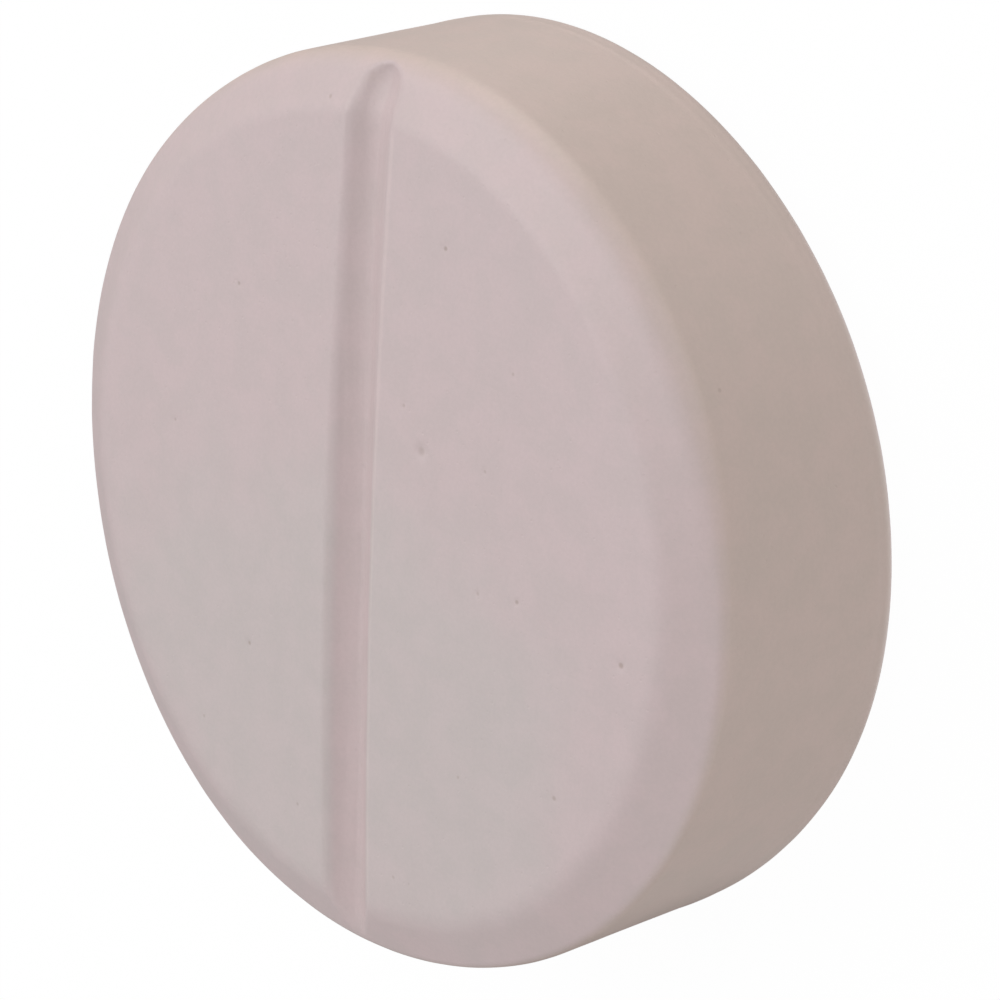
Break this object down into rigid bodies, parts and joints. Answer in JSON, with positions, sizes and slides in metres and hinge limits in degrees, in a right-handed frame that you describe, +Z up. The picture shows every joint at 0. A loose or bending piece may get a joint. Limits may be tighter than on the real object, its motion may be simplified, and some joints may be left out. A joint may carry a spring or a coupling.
{
  "type": "foam stress relief tablet",
  "caption": "Thick round tablet of soft self-skinned foam with a bevelled, scored front face and a plain back; it squeezes flat between the fingers and springs back.",
  "frame": {"origin": "middle of the plain back face, which is the face it rests on", "axes": "+Z up through the thickness, from the back face to the scored front face; +Y along the score; +X across it"},
  "size_m": [0.0662, 0.0662, 0.0194],
  "materials": {
    "front_skin": "matte moulded polyurethane skin, off-white with a pink cast, faint mottling and a few pits",
    "side_skin": "matte moulded polyurethane skin, off-white, faint mottling",
    "back_skin": "matte moulded polyurethane skin, off-white, with a trimmed pour spot",
    "foam_core": "open-cell polyurethane foam, matte, fine cells"
  },
  "bodies": {
    "back": {"back_skin": "back_skin", "side_skin": "side_skin", "foam_core": "foam_core"},
    "front": {"front_skin": "front_skin"}
  },
  "joints": [
    {"name": "squeeze", "type": "slide", "parent": "back", "child": "front", "axis": [0, 0, -1], "range_m": [0, 0.006], "stiffness_N_per_m": 1500, "deforming": ["side_skin", "foam_core"]}
  ]
}
